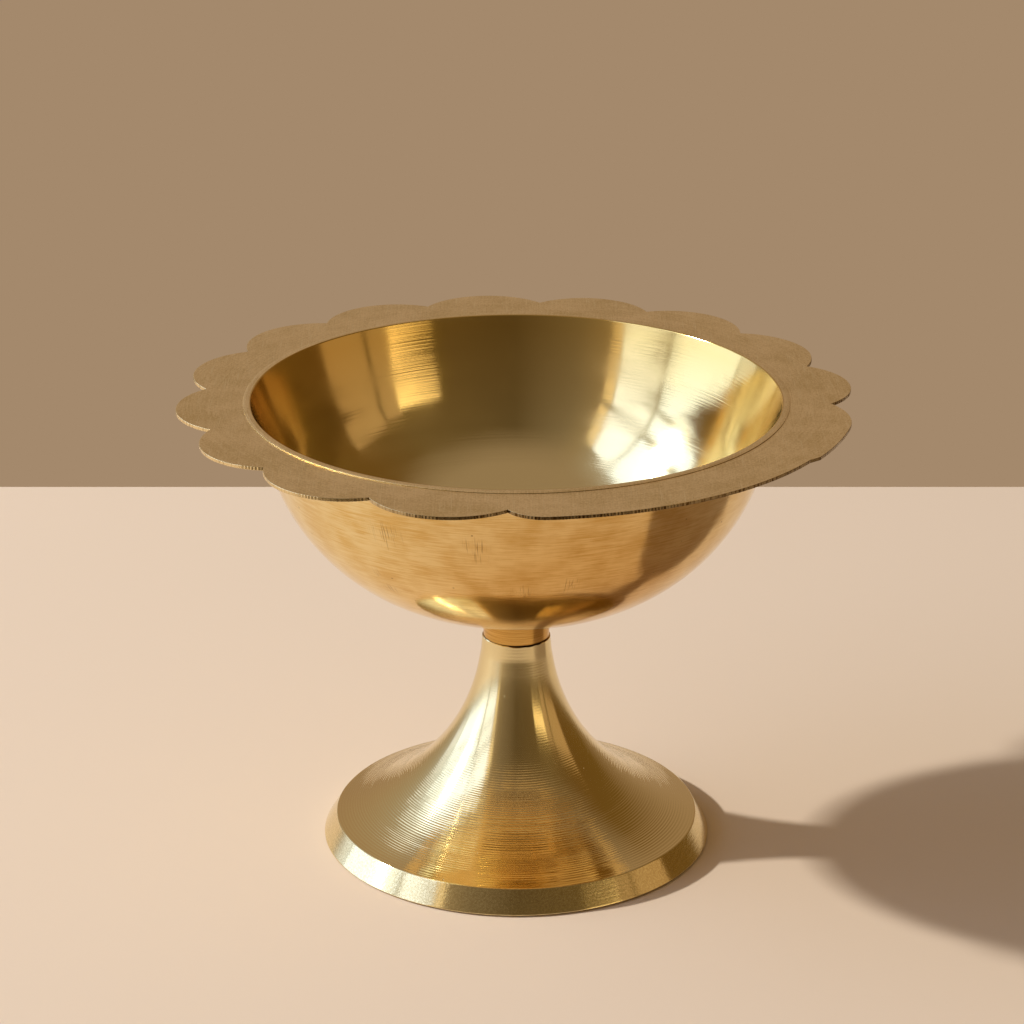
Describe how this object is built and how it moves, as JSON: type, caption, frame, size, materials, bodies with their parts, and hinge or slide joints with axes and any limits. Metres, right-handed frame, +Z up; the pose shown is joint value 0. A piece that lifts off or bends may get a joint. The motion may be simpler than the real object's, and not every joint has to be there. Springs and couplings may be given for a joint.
{
  "type": "butter lamp",
  "caption": "Footed brass butter lamp: a round bowl with a flat scalloped rim and a wick socket in its floor, screwed by a stud into a hollow trumpet foot.",
  "frame": {"origin": "middle of the ring that the foot stands on, on the lamp's turning axis", "axes": "+Z up along the turning axis; +X to the right in the picture's view; +Y away from the camera"},
  "size_m": [0.1067, 0.1059, 0.0758],
  "materials": {
    "foot_brass": "cast, turned and polished, with lathe rings",
    "washer_leather": "dark oiled leather",
    "stud_brass": "machined thread",
    "collar_brass": "turned, satin",
    "bowl_brass": "polished inside, satin outside",
    "flange_brass": "sanded sheet, filed edges"
  },
  "bodies": {
    "foot": {"foot": "foot_brass"},
    "washer": {"seat_washer": "washer_leather"},
    "bowl": {"bowl": "bowl_brass", "rim_flange": "flange_brass", "neck_collar": "collar_brass", "threaded_stud": "stud_brass"}
  },
  "joints": [
    {"name": "bowl_rise", "type": "slide", "parent": "foot", "child": "washer", "axis": [0, 0, 1], "range_m": [0, 0.008]},
    {"name": "bowl_turn", "type": "hinge", "parent": "washer", "child": "bowl", "pos_m": [0, 0, 0.035], "axis": [0, 0, 1], "range_deg": [0, 2880]}
  ],
  "couplings": [
    {"joint": "bowl_rise", "follows": "bowl_turn", "m_per_rad": 0.00015915}
  ]
}
